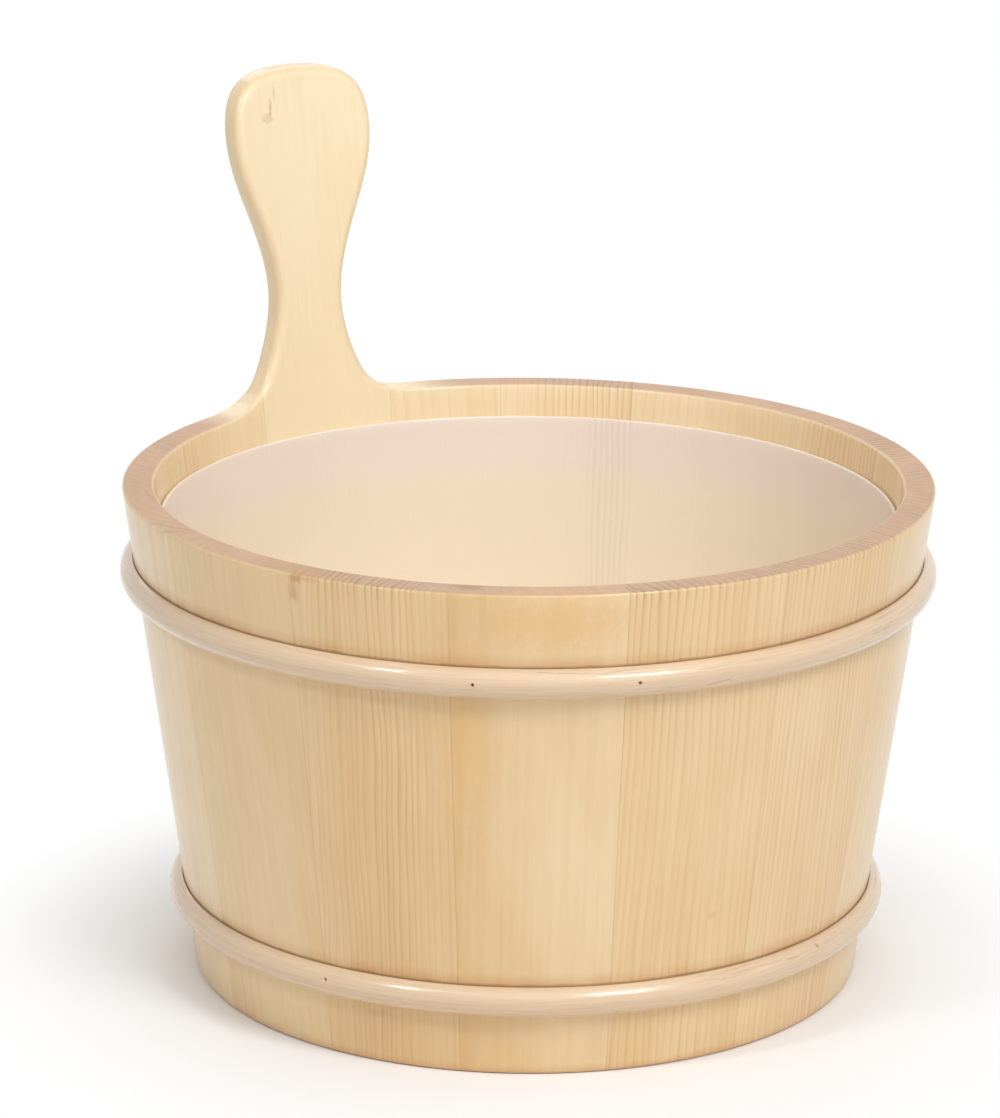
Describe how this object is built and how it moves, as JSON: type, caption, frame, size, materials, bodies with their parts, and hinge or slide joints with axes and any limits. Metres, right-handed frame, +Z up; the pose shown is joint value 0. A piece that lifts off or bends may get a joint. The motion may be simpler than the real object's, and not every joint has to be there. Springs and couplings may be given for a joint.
{
  "type": "wooden piggin",
  "caption": "Small coopered pine pail with one long flared handle stave, half round cane hoops and a loose translucent liner for water or food.",
  "frame": {"origin": "on the pail's axis, at the level of the foot that it stands on", "axes": "+Z up along the pail's axis, +Y towards the handle stave, +X to the right when the handle is at the back"},
  "size_m": [0.2518, 0.2656, 0.2623],
  "materials": {
    "pale_pine": "satin clear varnish",
    "bottom_pine": "planed, bare",
    "half_round_cane": "gloss clear varnish",
    "brad_steel": "darkened steel",
    "milky_plastic": "smooth translucent"
  },
  "bodies": {
    "pail": {"handle_stave": "pale_pine", "stave_01": "pale_pine", "stave_02": "pale_pine", "stave_03": "pale_pine", "stave_04": "pale_pine", "stave_05": "pale_pine", "stave_06": "pale_pine", "stave_07": "pale_pine", "stave_08": "pale_pine", "stave_09": "pale_pine", "stave_10": "pale_pine", "stave_11": "pale_pine", "stave_12": "pale_pine", "stave_13": "pale_pine", "stave_14": "pale_pine", "bottom_board_left": "bottom_pine", "bottom_board_middle": "bottom_pine", "bottom_board_right": "bottom_pine", "upper_hoop": "half_round_cane", "lower_hoop": "half_round_cane", "upper_hoop_brads": "brad_steel", "lower_hoop_brads": "brad_steel"},
    "liner": {"plastic_liner": "milky_plastic"}
  },
  "joints": [
    {"name": "liner_lift", "type": "slide", "parent": "pail", "child": "liner", "axis": [0, 0, 1], "range_m": [0, 0.15]}
  ]
}
